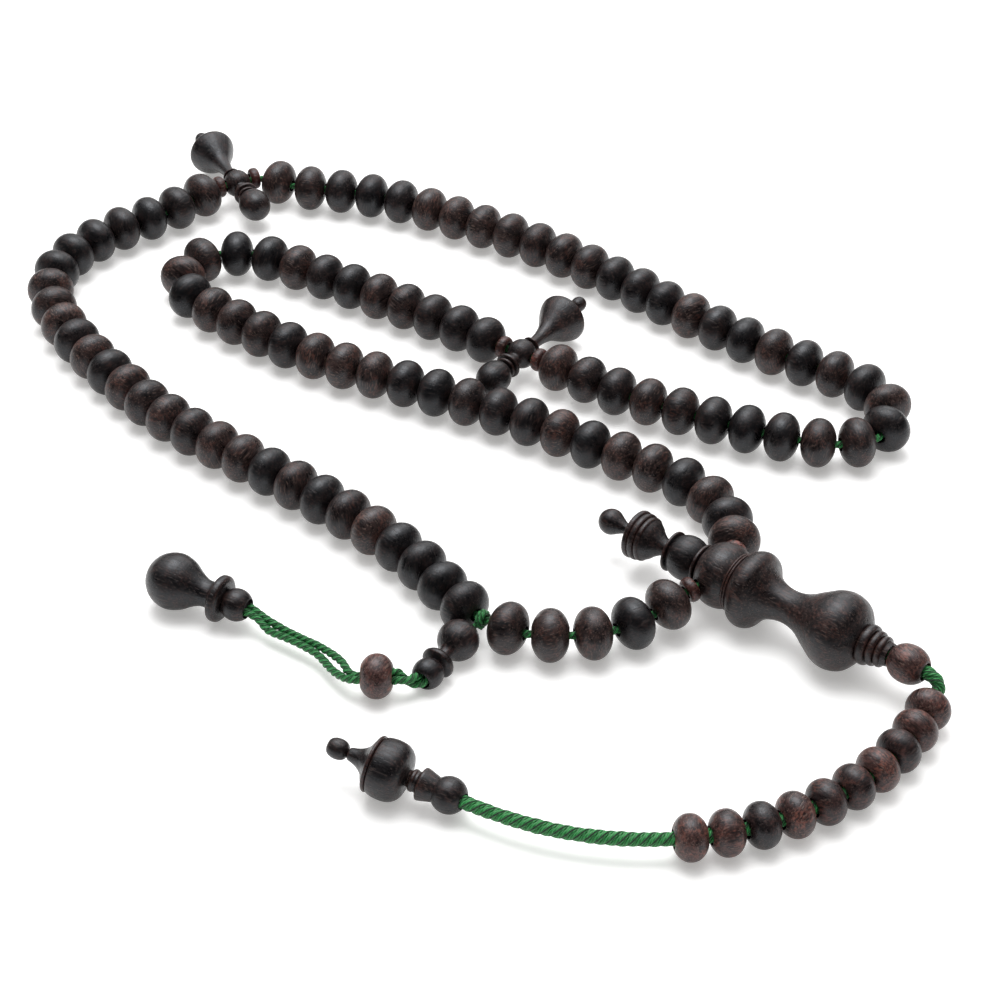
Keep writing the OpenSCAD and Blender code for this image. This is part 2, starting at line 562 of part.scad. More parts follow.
// pear: distances run along its axis from its ball's middle
module on_pear() { aim(pear_ball_at, pear_dir) children(); }
module pear_ball() {
    color(wood) on_pear() difference() {
        sphere(r = pear_ball_r, $fn = round_fn);
        translate([0, 0, -pear_ball_r - cut]) cylinder(d = pair_bore + 0.3, h = 1.2, $fn = round_fn);
        translate([0, 0, 1]) cylinder(d = finial_peg_d, h = 3, $fn = round_fn);
    }
}
module pear_bulb() {
    color(wood) on_pear() {
        difference() {
            turned(concat([[1.7, 1.6], [1.7, 2.2], [1.8, 2.9], [2.1, pear_ring_r - 0.25]],
                swell(2.7, 0.65, pear_ring_r, pear_ring_r - 0.35, 6),
                [[3.5, 2.9], [3.8, 2.15]],
                [for (p = curve([[4.1, 2, 0], [5.3, 2.05, 0], [6.7, 2.7, 0], [8.3, pear_d / 2 - 0.5, 0],
                    [pear_at, pear_d / 2, 0], [12.3, pear_d / 2 - 0.55, 0], [13.7, 2.4, 0], [14.3, 1, 0],
                    [14.4, 0.3, 0]])) [p.x, p.y]]));
            sphere(r = pear_ball_r + 0.02, $fn = round_fn);
        }
        translate([0, 0, 1.1]) cylinder(d = finial_peg_d - 2 * peg_fit, h = 2, $fn = round_fn);
    }
}

imame_body();
imame_ball();
imame_finial();
tail_ball();
imame_washer_front();
imame_washer_back();
strand_cord();
tail_cord();
run_bead(front_run, 0);  // loose_bead_1
run_bead(front_run, 1);  // loose_bead_2
run_bead(front_run, 2);  // loose_bead_3
run_bead(front_run, 3);  // loose_bead_4
run_bead(front_run, 4);  // loose_bead_5
run_beads(left_run, 0, 6);  // left_beads_1
run_beads(left_run, 7, 13);  // left_beads_2
run_beads(left_run, 14, 20);  // left_beads_3
run_beads(left_run, 21, 27);  // left_beads_4
run_beads(far_run, 0, 6);  // far_beads_1
run_beads(far_run, 7, 13);  // far_beads_2
run_beads(far_run, 14, 20);  // far_beads_3
run_beads(far_run, 21, 27);  // far_beads_4
run_beads(far_run, 28, 33);  // far_beads_5
run_beads(inner_run, 0, 6);  // inner_beads_1
run_beads(inner_run, 7, 13);  // inner_beads_2
run_beads(inner_run, 14, 20);  // inner_beads_3
run_beads(inner_run, 21, 26);  // inner_beads_4
run_beads(inner_run, 27, 32);  // inner_beads_5
marker_a_ball();
marker_a_horn();
marker_a_washer_in();
marker_a_washer_out();
marker_b_ball();
marker_b_horn();
marker_b_washer_in();
marker_b_washer_out();
pendant_loop();
pendant_hub();
pendant_cup();
pendant_cord_front();
pendant_cord_back();
pendant_rondelle();
pear_ball();
pear_bulb();
counter(0);  // counter_1
counter(1);  // counter_2
counter(2);  // counter_3
counter(3);  // counter_4
counter(4);  // counter_5
counter(5);  // counter_6
counter(6);  // counter_7
counter(7);  // counter_8
counter(8);  // counter_9
counter(9);  // counter_10
finial_ball();
finial_spool();
finial_barrel();
finial_tip();
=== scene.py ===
import bpy
import json
import math
import random
import numpy as np
from mathutils import Matrix, Vector


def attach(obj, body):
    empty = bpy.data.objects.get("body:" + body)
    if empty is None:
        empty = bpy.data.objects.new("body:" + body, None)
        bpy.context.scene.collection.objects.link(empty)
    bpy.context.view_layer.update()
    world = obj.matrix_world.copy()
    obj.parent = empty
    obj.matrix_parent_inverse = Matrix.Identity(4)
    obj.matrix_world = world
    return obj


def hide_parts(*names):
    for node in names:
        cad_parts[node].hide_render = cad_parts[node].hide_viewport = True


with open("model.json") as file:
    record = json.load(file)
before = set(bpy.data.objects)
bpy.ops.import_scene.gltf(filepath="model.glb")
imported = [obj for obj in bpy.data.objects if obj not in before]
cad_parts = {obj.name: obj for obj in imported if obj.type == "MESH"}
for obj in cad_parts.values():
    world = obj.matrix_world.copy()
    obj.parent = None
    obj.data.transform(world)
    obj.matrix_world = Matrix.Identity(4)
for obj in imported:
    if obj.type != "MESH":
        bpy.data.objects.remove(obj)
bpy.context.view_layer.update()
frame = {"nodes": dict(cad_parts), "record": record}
mm = 0.001
up = Vector((0, 0, 1))


def say(stage):
    print("prayer beads:", stage)


def heading(degrees):
    return Vector((math.cos(math.radians(degrees)), math.sin(math.radians(degrees)), 0))


# camera
bpy.ops.object.camera_add(location=(0.007, -0.3345, 0.2419), rotation=(math.radians(53.06), 0, 0))
camera = bpy.context.active_object
camera.name = "tableCamera"
camera.data.lens = 95.3
camera.data.sensor_width = 36
camera.data.clip_start = 0.01
camera.data.clip_end = 20
bpy.context.scene.camera = camera
say("camera")


# small helpers
def deselectAll():
    if bpy.context.object and bpy.context.object.mode != "OBJECT":
        bpy.ops.object.mode_set(mode="OBJECT")
    bpy.ops.object.select_all(action="DESELECT")


def pick(piece):
    deselectAll()
    piece.select_set(True)
    bpy.context.view_layer.objects.active = piece


def smoothRoute(points, spacing):  # centripetal curve through the points, resampled evenly
    p = [np.array(q, float) for q in points]
    p = [2 * p[0] - p[1]] + p + [2 * p[-1] - p[-2]]
    line = []
    for a, b, c, d in zip(p, p[1:], p[2:], p[3:]):
        ab, bc, cd = (max(math.sqrt(np.linalg.norm(v)), 1e-6) for v in (b - a, c - b, d - c))
        m1 = (c - b) + bc * ((b - a) / ab - (c - a) / (ab + bc))
        m2 = (c - b) + bc * ((d - c) / cd - (d - b) / (bc + cd))
        for k in range(16):
            t = k / 16
            line.append((2 * t**3 - 3 * t**2 + 1) * b + (t**3 - 2 * t**2 + t) * m1
                        + (3 * t**2 - 2 * t**3) * c + (t**3 - t**2) * m2)
    line = np.array(line + [p[-2]])
    walked = np.concatenate([[0], np.cumsum(np.linalg.norm(np.diff(line, axis=0), axis=1))])
    count = max(8, int(walked[-1] / spacing))
    at = np.linspace(0, walked[-1], count + 1)
    return np.stack([np.interp(at, walked, line[:, i]) for i in range(3)], axis=1)


def framesAlong(line):  # side and top directions that don't twist along the line
    ahead = np.gradient(line, axis=0)
    ahead /= np.linalg.norm(ahead, axis=1)[:, None]
    side = np.cross(ahead[0], (0, 0, 1))
    side /= np.linalg.norm(side)
    sides = []
    for a in ahead:
        side = side - a * side.dot(a)
        side /= np.linalg.norm(side)
        sides.append(side)
    sides = np.array(sides)
    return ahead, sides, np.cross(sides, ahead)


# cords
cordSettings = {
    "strand": {"diameter": 1.25, "plies": 3, "plyWidth": 0.62, "pitch": 2.8, "seed": 3},
    "tail": {"diameter": 2.0, "plies": 4, "plyWidth": 0.96, "pitch": 5.6, "seed": 11},
    "pendant": {"diameter": 1.24, "plies": 3, "plyWidth": 0.64, "pitch": 3.4, "seed": 23},
    "loop": {"diameter": 0.86, "plies": 3, "plyWidth": 0.45, "pitch": 2.2, "seed": 31},
}


def layRope(name, line, settings, sides=9):  # twisted plies laid round a line, in metres
    rng = np.random.default_rng(settings["seed"])
    ahead, side, top = framesAlong(line)
    walked = np.concatenate([[0], np.cumsum(np.linalg.norm(np.diff(line, axis=0), axis=1))]) / mm
    plyRadius = settings["plyWidth"] / 2
    layRadius = settings["diameter"] / 2 - plyRadius
    wobble = 1 + 0.05 * np.sin(walked * 1.7 + rng.uniform(0, 6))
    wobble = wobble + 0.04 * np.sin(walked * 0.61 + rng.uniform(0, 6))
    points, faces, places = [], [], []
    for ply in range(settings["plies"]):
        turn = 2 * math.pi * (walked / settings["pitch"] + ply / settings["plies"])
        out = np.cos(turn)[:, None] * side + np.sin(turn)[:, None] * top
        middle = line + out * (layRadius * wobble)[:, None] * mm
        run = np.gradient(middle, axis=0)
        run /= np.linalg.norm(run, axis=1)[:, None]
        across = np.cross(run, out)
        across /= np.linalg.norm(across, axis=1)[:, None]
        outward = np.cross(across, run)
        start = len(points)
        for i in range(len(line)):
            for k in range(sides):
                a = 2 * math.pi * k / sides
                rim = math.cos(a) * outward[i] * 0.98 + math.sin(a) * across[i] * 1.04
                points.append(middle[i] + plyRadius * mm * rim)
                places.append((walked[i], a / (2 * math.pi), ply * 7.3 + settings["seed"]))
        for i in range(len(line) - 1):
            for k in range(sides):
                a, b = start + i * sides + k, start + i * sides + (k + 1) % sides
                faces.append((a, b, b + sides, a + sides))
        faces.append([start + k for k in range(sides - 1, -1, -1)])
        faces.append([start + (len(line) - 1) * sides + k for k in range(sides)])
    mesh = bpy.data.meshes.new(name)
    mesh.from_pydata([tuple(p) for p in points], [], faces)
    along = mesh.attributes.new("plyPlace", "FLOAT_VECTOR", "POINT")
    along.data.foreach_set("vector", np.array(places, np.float32).ravel())
    rope = bpy.data.objects.new(name, mesh)
    bpy.context.collection.objects.link(rope)
    pick(rope)
    bpy.ops.object.mode_set(mode="EDIT")
    bpy.ops.mesh.select_all(action="SELECT")
    bpy.ops.mesh.normals_make_consistent(inside=False)
    bpy.ops.object.mode_set(mode="OBJECT")
    bpy.ops.object.shade_smooth()
    return rope


# where the beads of each run lie: their middles and axes, read from the model
runs = {
    "front": ["loose_bead_1", "loose_bead_2", "loose_bead_3", "loose_bead_4", "loose_bead_5"],
    "left": ["left_beads_1", "left_beads_2", "left_beads_3", "left_beads_4"],
    "far": ["far_beads_1", "far_beads_2", "far_beads_3", "far_beads_4", "far_beads_5"],
    "inner": ["inner_beads_1", "inner_beads_2", "inner_beads_3", "inner_beads_4", "inner_beads_5"],
}


def solidsIn(nodeName):
    mesh = frame["nodes"][nodeName].data
    spots = np.empty(len(mesh.vertices) * 3)
    mesh.vertices.foreach_get("co", spots)
    spots = spots.reshape(-1, 3)
    mesh.calc_loop_triangles()
    corners = np.empty(len(mesh.loop_triangles) * 3, np.int64)
    mesh.loop_triangles.foreach_get("vertices", corners)
    unique, back = np.unique(np.round(spots / 2e-6).astype(np.int64), axis=0, return_inverse=True)
    triangles = back.reshape(-1)[corners].reshape(-1, 3)
    label = np.arange(len(unique))
    while True:  # the lowest label spreads over each solid
        lowest = label[triangles].min(axis=1)
        fresh = label.copy()
        for i in range(3):
            np.minimum.at(fresh, triangles[:, i], lowest)
        fresh = fresh[fresh]
        if (fresh == label).all():
            break
        label = fresh
    solids = []
    group = label[triangles[:, 0]]
    for one in np.unique(group):
        t = spots[corners.reshape(-1, 3)[group == one]]
        area = np.linalg.norm(np.cross(t[:, 1] - t[:, 0], t[:, 2] - t[:, 0]), axis=1) / 2
        middle = (t.mean(axis=1) * area[:, None]).sum(axis=0) / area.sum()
        spread = np.zeros((3, 3))
        for corner in list(t.transpose(1, 0, 2)) + [t.mean(axis=1)]:
            d = corner - middle
            spread += (d * area[:, None]).T @ d
        values, vectors = np.linalg.eigh(spread)
        solids.append((middle, vectors[:, 0]))
    return solids


headPlace = Vector((39, -38.5, 5.83)) * mm
headAxis = heading(-39)
frontHole, backHole = heading(-39 - 90 - 20), heading(-39 + 90 + 20)
markerPlaces = {"a": (Vector((-39.7, 75.4, 4.13)) * mm, heading(116), heading(26)),
                "b": (Vector((10.5, 21, 4.13)) * mm, heading(57), heading(147))}
loopPlace = Vector((4.5, -46, 3.93)) * mm
runStarts = {"front": headPlace, "left": loopPlace, "far": markerPlaces["a"][0], "inner": markerPlaces["b"][0]}


def walkRun(runName):  # the run's beads in the order in which they are strung
    here, left, order = np.array(runStarts[runName]), [], []
    for node in runs[runName]:
        left = [(node, middle, axis) for middle, axis in solidsIn(node)]
        while left:
            nearest = min(range(len(left)), key=lambda i: np.linalg.norm(left[i][1] - here))
            node, middle, axis = left.pop(nearest)
            if axis.dot(middle - here) < 0:
                axis = -axis
            order.append((node, middle, axis))
            here = middle
    return order


strung = {runName: walkRun(runName) for runName in runs}
say("%d beads found" % sum(len(r) for r in strung.values()))


def throughBeads(runName):  # the cord runs straight inside each bead
    straight = 2.3 * mm
    points = []
    for node, middle, axis in strung[runName]:
        points += [middle - axis * straight, middle + axis * straight]
    return points


aPlace, bPlace = np.array(markerPlaces["a"][0]), np.array(markerPlaces["b"][0])
aAlong, bAlong = np.array(markerPlaces["a"][2]), np.array(markerPlaces["b"][2])
strandRoute = ([headPlace + 1.6 * mm * frontHole, headPlace + 5.2 * mm * frontHole] + throughBeads("front")
               + throughBeads("left") + [aPlace - aAlong * 2.4 * mm, aPlace + aAlong * 2.4 * mm]
               + throughBeads("far") + [bPlace - bAlong * 2.4 * mm, bPlace + bAlong * 2.4 * mm]
               + throughBeads("inner") + [headPlace + 5.2 * mm * backHole, headPlace + 1.6 * mm * backHole])
strandLine = smoothRoute(strandRoute, 0.42 * mm)
strandCord = layRope("strandCord", strandLine, cordSettings["strand"], 7)

# the tail leaves the head's foot, drops to the counters' height and runs round an arc
arcMiddle, arcRadius = headPlace + Vector((-13, -8, 0)) * mm, 43
firstCounter, tailEnd = -24.6, -124


def onArc(degrees, height=3.23):
    spot = arcMiddle + heading(degrees) * arcRadius * mm
    return Vector((spot.x, spot.y, height * mm))


tailExit = headPlace + 33.6 * mm * headAxis
tailRoute = [headPlace + 4 * mm * headAxis, headPlace + 16 * mm * headAxis,
             headPlace + 28 * mm * headAxis, tailExit]
tailRoute += [tailExit + Vector(v) * mm for v in ((0.6, -0.5, -0.1), (1.5, -1.1, -0.7), (1.7, -1.8, -1.6))]
tailRoute += [onArc(firstCounter + 3.6, 3.33)]
tailRoute += [onArc(a) for a in np.arange(firstCounter + 1.2, tailEnd + 5.9, -7)]
tailRoute += [onArc(tailEnd + 3, 3.12), onArc(tailEnd, 3.05), onArc(tailEnd - 1.6, 3.05)]
tailLine = smoothRoute(tailRoute, 0.24 * mm)
tailCord = layRope("tailCord", tailLine, cordSettings["tail"], 10)

# the pendant: a pair of cords from the cup through the rondelle to the pear
hubPlace = Vector((1.15, -49.55, 3.03)) * mm
hubAxis = (heading(-123) + Vector((0, 0, -0.09))).normalized()
rondellePlace, rondelleAxis = Vector((-10, -57.5, 3.23)) * mm, heading(177)
pearPlace = Vector((-30.5, -42.3, 3.53)) * mm
pearAxis = (heading(154) + Vector((0, 0, 0.068))).normalized()
pairMiddle = smoothRoute([hubPlace + 7.6 * mm * hubAxis, hubPlace + 8.5 * mm * hubAxis,
                          Vector((-5.4, -57.6, 2.5)) * mm, rondellePlace - 3.6 * mm * rondelleAxis,
                          rondellePlace], 0.3 * mm)
pairEnds = {  # from the rondelle to the pear
    1: [(-13.4, -57.1, 3.2), (-15.1, -54.1, 3.1), (-18.2, -50.6, 2.7), (-22.2, -47.6, 2.5),
        (-25.4, -45.3, 2.8)],
    -1: [(-13.4, -58.1, 3.1), (-15.8, -55.8, 2.4), (-18.7, -51.6, 2.3), (-22.6, -48.6, 2.4),
         (-25.7, -46.5, 2.3), (-27.4, -44.7, 3)]}


def pairLine(which):
    ahead, side, top = framesAlong(pairMiddle)
    count = len(pairMiddle)
    turn = np.linspace(-2.2 * math.pi, 0, count) + (0 if which == 1 else math.pi)
    reach = 0.61 * mm
    twisted = pairMiddle + reach * (np.cos(turn)[:, None] * side + np.sin(turn)[:, None] * top)
    last = pearPlace - 1.7 * mm * pearAxis + which * 0.62 * mm * heading(154 - 90)
    route = list(twisted[::4]) + [Vector(v) * mm for v in pairEnds[which]] + [last]
    return smoothRoute(route, 0.24 * mm)


pairLines = {which: pairLine(which) for which in (1, -1)}
pairCords = {1: layRope("pendantCordBack", pairLines[1], cordSettings["pendant"], 8),
             -1: layRope("pendantCordFront", pairLines[-1], dict(cordSettings["pendant"], seed=29), 8)}

# the pendant hangs on the strand by two wraps of its cord
loopAhead = (Vector(strung["left"][0][1]) - Vector(strung["front"][-1][1])).normalized()
loopOut = (hubPlace - loopPlace)
loopOut = (loopOut - loopAhead * loopOut.dot(loopAhead)).normalized()
loopTop = loopAhead.cross(loopOut)
loopRoute = []
for step in range(25):
    turn = 2 * math.pi * (step / 12 - 0.12)
    loopRoute.append(loopPlace + loopAhead * (step / 24 - 0.5) * 0.95 * mm
                     + (loopOut * math.cos(turn) + loopTop * math.sin(turn)) * 1.06 * mm)
loopRoute += [loopPlace.lerp(hubPlace, 0.44), loopPlace.lerp(hubPlace, 0.62)]
loopCord = layRope("pendantLoop", smoothRoute(loopRoute, 0.2 * mm), cordSettings["loop"], 8)
say("cords")


# shader groups
def newGroup(name, inputs, outputs):
    group = bpy.data.node_groups.new(name, "ShaderNodeTree")
    for socketName, kind, value in inputs:
        socket = group.interface.new_socket(name=socketName, in_out="INPUT", socket_type=kind)
        if value is not None:
            socket.default_value = value
    for socketName, kind in outputs:
        group.interface.new_socket(name=socketName, in_out="OUTPUT", socket_type=kind)
    return group, group.nodes.new("NodeGroupInput"), group.nodes.new("NodeGroupOutput")


def addNode(tree, kind, values=None, **settings):
    node = tree.nodes.new(kind)
    for key, value in settings.items():
        setattr(node, key, value)
    for key, value in (values or {}).items():
        if isinstance(value, bpy.types.NodeSocket):
            tree.links.new(value, node.inputs[key])
        else:
            node.inputs[key].default_value = value
    return node


def maths(tree, operation, a, b=0.0, clamp=False):
    return addNode(tree, "ShaderNodeMath", {0: a, 1: b}, operation=operation, use_clamp=clamp).outputs[0]


def stretched(tree, place, amounts):
    return addNode(tree, "ShaderNodeVectorMath", {0: place, 1: amounts}, operation="MULTIPLY").outputs[0]


def noise(tree, place, scale, detail=3.0, roughness=0.5, distortion=0.0):
    return addNode(tree, "ShaderNodeTexNoise", {
        "Vector": place, "Scale": scale, "Detail": detail, "Roughness": roughness,
        "Distortion": distortion}).outputs["Fac"]


def between(tree, value, low, high, toLow=0.0, toHigh=1.0):
    return addNode(tree, "ShaderNodeMapRange", {
        "Value": value, "From Min": low, "From Max": high, "To Min": toLow, "To Max": toHigh},
        interpolation_type="SMOOTHSTEP").outputs["Result"]


def blendColors(tree, amount, a, b, mode="MIX"):
    node = addNode(tree, "ShaderNodeMix", {"Factor": amount}, data_type="RGBA", blend_type=mode)
    for key, value in ((6, a), (7, b)):
        if isinstance(value, bpy.types.NodeSocket):
            tree.links.new(value, node.inputs[key])
        else:
            node.inputs[key].default_value = value
    return node.outputs[2]


# grain of dense dark wood: streaks along the axis, mottled red-brown patches, pores and polish
grain, into, out = newGroup("turnedWood", [
    ("Place", "NodeSocketVector", None), ("Tone", "NodeSocketFloat", 0.3), ("Wear", "NodeSocketFloat", 0.0),
    ("Dark", "NodeSocketColor", (0.0022, 0.0022, 0.0029, 1)),
    ("Brown", "NodeSocketColor", (0.042, 0.024, 0.021, 1)),
    ("Red", "NodeSocketColor", (0.1, 0.038, 0.027, 1)), ("Pore", "NodeSocketColor", (0.2, 0.13, 0.105, 1)),
    ("Mottle", "NodeSocketFloat", 0.5)],
    [("Color", "NodeSocketColor"), ("Roughness", "NodeSocketFloat"), ("Height", "NodeSocketFloat")])
place = into.outputs["Place"]
tone = into.outputs["Tone"]
broad = between(grain, noise(grain, stretched(grain, place, (0.5, 0.5, 0.12)), 1.0, 4.0, 0.55, 0.6), 0.37, 0.63)
streakNoise = noise(grain, stretched(grain, place, (1.9, 1.9, 0.2)), 1.0, 5.0, 0.7, 0.3)
streak = between(grain, streakNoise, 0.37, 0.63)
grit = noise(grain, stretched(grain, place, (3.0, 3.0, 1.3)), 1.0, 3.0, 0.75)
mottle = noise(grain, place, 0.45, 4.0, 0.62, 0.4)
poreLine = noise(grain, stretched(grain, place, (4.6, 4.6, 0.55)), 1.0, 1.5, 0.5)
lathe = noise(grain, stretched(grain, place, (0.3, 0.3, 5.0)), 1.0, 2.0, 0.5)
share = maths(grain, "ADD", maths(grain, "MULTIPLY", streak, 0.75), maths(grain, "MULTIPLY", broad, 0.7))
browned = maths(grain, "MULTIPLY", tone, maths(grain, "ADD", share, 0.2))
streakShare = maths(grain, "MULTIPLY", maths(grain, "MULTIPLY", streak, broad), 0.1)
browned = maths(grain, "ADD", browned, streakShare, clamp=True)
color = blendColors(grain, browned, into.outputs["Dark"], into.outputs["Brown"])
patch = maths(grain, "MULTIPLY", between(grain, mottle, 0.47, 0.62), between(grain, grit, 0.4, 0.58))
patch = maths(grain, "MULTIPLY", patch, into.outputs["Mottle"])
color = blendColors(grain, maths(grain, "MULTIPLY", patch, maths(grain, "ADD", tone, 0.12), clamp=True),
                    color, into.outputs["Red"])
gritShade = between(grain, grit, 0.32, 0.7, 0.4, 1.75)
shadeColor = addNode(grain, "ShaderNodeCombineColor", {0: gritShade, 1: gritShade, 2: gritShade}).outputs[0]
color = blendColors(grain, 1.0, color, shadeColor, "MULTIPLY")
pores = between(grain, poreLine, 0.59, 0.67)
poreShare = maths(grain, "ADD", maths(grain, "MULTIPLY", tone, 0.6), 0.07)
color = blendColors(grain, maths(grain, "MULTIPLY", pores, poreShare), color, into.outputs["Pore"])
worn = maths(grain, "MULTIPLY", into.outputs["Wear"], between(grain, grit, 0.3, 0.7, 0.1, 0.5))
color = blendColors(grain, worn, color, into.outputs["Red"])
rough = maths(grain, "ADD", between(grain, mottle, 0.35, 0.65, 0.24, 0.36),
              maths(grain, "MULTIPLY", streak, 0.13))
rough = maths(grain, "ADD", rough, maths(grain, "MULTIPLY", pores, 0.1))
rough = maths(grain, "SUBTRACT", rough, maths(grain, "MULTIPLY", into.outputs["Wear"], 0.05))
height = maths(grain, "ADD", streakNoise, maths(grain, "MULTIPLY", lathe, 0.3))
height = maths(grain, "ADD", height, maths(grain, "MULTIPLY", grit, 0.5))
height = maths(grain, "SUBTRACT", height, maths(grain, "MULTIPLY", pores, 0.3))
grain.links.new(color, out.inputs["Color"])
grain.links.new(rough, out.inputs["Roughness"])
grain.links.new(height, out.inputs["Height"])

# fibres of a twisted cord: fine threads wound round each ply, with painted shade in the gaps between the threads
# and in the creases where the plies meet
fibre, into, out = newGroup("cordThreads", [
    ("Place", "NodeSocketVector", None), ("ShadeGreen", "NodeSocketColor", (0.0008, 0.012, 0.004, 1)),
    ("Bright", "NodeSocketColor", (0.04, 0.33, 0.08, 1)), ("Threads", "NodeSocketFloat", 5.0),
    ("Slant", "NodeSocketFloat", 1.1)],
    [("Color", "NodeSocketColor"), ("Roughness", "NodeSocketFloat"), ("Height", "NodeSocketFloat")])
split = addNode(fibre, "ShaderNodeSeparateXYZ", {0: into.outputs["Place"]})
phase = maths(fibre, "ADD", maths(fibre, "MULTIPLY", split.outputs["Y"], into.outputs["Threads"]),
              maths(fibre, "MULTIPLY", split.outputs["X"], into.outputs["Slant"]))
# painted shade: the troughs of this thread wave darken the gaps between the threads; the wave also drives the
# bump
wave = maths(fibre, "SINE", maths(fibre, "MULTIPLY", phase, 2 * math.pi))
wave = maths(fibre, "MULTIPLY", maths(fibre, "ADD", wave, 1.0), 0.5)
tint = noise(fibre, stretched(fibre, into.outputs["Place"], (0.5, 2.0, 1.0)), 1.0, 3.0)
hair = noise(fibre, stretched(fibre, into.outputs["Place"], (1.5, 22.0, 1.0)), 1.0, 3.0, 0.6)
# painted shade: each ply darkens towards the cord's middle, where the plies press together
paintedCreaseShade = maths(fibre, "COSINE", maths(fibre, "MULTIPLY", split.outputs["Y"], 2 * math.pi))
paintedCreaseShade = maths(fibre, "MULTIPLY", maths(fibre, "ADD", paintedCreaseShade, 1.0), 0.5)
light = maths(fibre, "ADD", maths(fibre, "MULTIPLY", wave, 0.6), maths(fibre, "MULTIPLY", tint, 0.35))
light = maths(fibre, "ADD", light, maths(fibre, "MULTIPLY", hair, 0.35))
light = maths(fibre, "MULTIPLY", light, between(fibre, paintedCreaseShade, 0.3, 0.95, 0.12, 1.15), clamp=True)
# the darker green is the painted shade colour of the creases and the thread gaps
color = blendColors(fibre, light, into.outputs["ShadeGreen"], into.outputs["Bright"])
fibre.links.new(color, out.inputs["Color"])
fibre.links.new(between(fibre, hair, 0.3, 0.7, 0.42, 0.6), out.inputs["Roughness"])
fibre.links.new(maths(fibre, "ADD", wave, maths(fibre, "MULTIPLY", hair, 0.4)), out.inputs["Height"])


def newMaterial(name, group, attributes, values, shader, bumpStrength, bumpDistance):
    material = bpy.data.materials.new(name)
    material.use_nodes = True
    tree = material.node_tree
    principled = tree.nodes["Principled BSDF"]
    for key, value in shader.items():
        principled.inputs[key].default_value = value
    look = addNode(tree, "ShaderNodeGroup", node_tree=group)
    for key, (attribute, output) in attributes.items():
        source = addNode(tree, "ShaderNodeAttribute", attribute_name=attribute)
        tree.links.new(source.outputs[output], look.inputs[key])
    for key, value in values.items():
        look.inputs[key].default_value = value
    bump = addNode(tree, "ShaderNodeBump", {"Height": look.outputs["Height"], "Strength": bumpStrength,
                                            "Distance": bumpDistance})
    tree.links.new(look.outputs["Color"], principled.inputs["Base Color"])
    tree.links.new(look.outputs["Roughness"], principled.inputs["Roughness"])
    tree.links.new(bump.outputs["Normal"], principled.inputs["Normal"])
    return material


woodInputs = {"Place": ("grainPlace", "Vector"), "Tone": ("woodTone", "Fac"), "Wear": ("edgeWear", "Fac")}
woodShader = {"Specular IOR Level": 0.38, "Specular Tint": (0.9, 0.94, 1.0, 1), "Coat Weight": 0.08,
              "Coat Roughness": 0.16, "Coat IOR": 1.45}
woods = {
    "dark_wood": newMaterial("darkTurnedWood", grain, woodInputs, {"Mottle": 0.6}, woodShader, 0.45, 0.00012),
    "brown_wood": newMaterial("brownTurnedWood", grain, woodInputs, {
        "Mottle": 0.9, "Brown": (0.065, 0.031, 0.027, 1),
        "Red": (0.13, 0.048, 0.035, 1)}, woodShader, 0.45, 0.00012),
    "washer_wood": newMaterial("washerWood", grain, woodInputs, {
        "Mottle": 0.9, "Dark": (0.012, 0.006, 0.005, 1), "Brown": (0.065, 0.022, 0.018, 1),
        "Red": (0.13, 0.042, 0.032, 1)}, woodShader, 0.5, 0.00014),
}
cordInputs = {"Place": ("plyPlace", "Vector")}
cordShader = {"Sheen Weight": 0.06, "Sheen Roughness": 0.4, "Sheen Tint": (0.6, 1.0, 0.7, 1),
              "Specular IOR Level": 0.5}
cordMaterial = newMaterial("greenTwistedCord", fibre, cordInputs, {"Threads": 7.0, "Slant": 1.5},
                           cordShader, 0.8, 0.0001)
for piece in [strandCord, tailCord, loopCord] + list(pairCords.values()):
    piece.data.materials.append(cordMaterial)
say("materials")


# turning
def swell(middle, half, radius, endRadius, count=14):
    points = []
    for i in range(count + 1):
        a = math.radians(-90 + 180 * i / count)
        height = endRadius + (radius - endRadius) * max(math.cos(a), 0) ** 0.9
        points.append((middle + half * math.sin(a), height))
    return points


def roundPart(middle, radius, angles):  # part of a sphere, with its angles from the equator
    return [(middle + radius * math.sin(math.radians(a)), radius * math.cos(math.radians(a))) for a in angles]


def smoothPart(points, steps=5):  # a smooth curve through the given outline points
    line = smoothRoute([(t, r, 0) for t, r in points], 0.1)
    walked = np.concatenate([[0], np.cumsum(np.linalg.norm(np.diff(line, axis=0), axis=1))])
    at = np.linspace(0, walked[-1], (len(points) - 1) * steps + 1)
    return [tuple(float(np.interp(s, walked, line[:, i])) for i in (0, 1)) for s in at]


def softCorners(outline, reach=0.12):  # small rounds on the tool's sharp corners
    soft = [outline[0]]
    for a, b, c in zip(outline, outline[1:], outline[2:]):
        u, v = np.subtract(b, a), np.subtract(c, b)
        lu, lv = np.linalg.norm(u), np.linalg.norm(v)
        if lu < 1e-6 or lv < 1e-6:
            continue
        if u.dot(v) / lu / lv > math.cos(math.radians(28)):
            soft.append(tuple(b))
            continue
        start, end = b - u / lu * min(reach, 0.4 * lu), b + v / lv * min(reach, 0.4 * lv)
        soft += [tuple(start), tuple(0.25 * start + 0.5 * np.array(b) + 0.25 * end), tuple(end)]
    return soft + [outline[-1]]


def wearAt(outline):  # how sharply each outline point stands out, 0 to 1
    wear = [0.0] * len(outline)
    for i in range(1, len(outline) - 1):
        u, v = np.subtract(outline[i], outline[i - 1]), np.subtract(outline[i + 1], outline[i])
        lu, lv = np.linalg.norm(u), np.linalg.norm(v)
        bend = math.asin(max(-1, min(1, (u[1] * v[0] - u[0] * v[1]) / max(lu * lv, 1e-9))))
        wear[i] = min(1, max(0, (2 * bend / (lu + lv) - 0.9) / 3))
    return wear


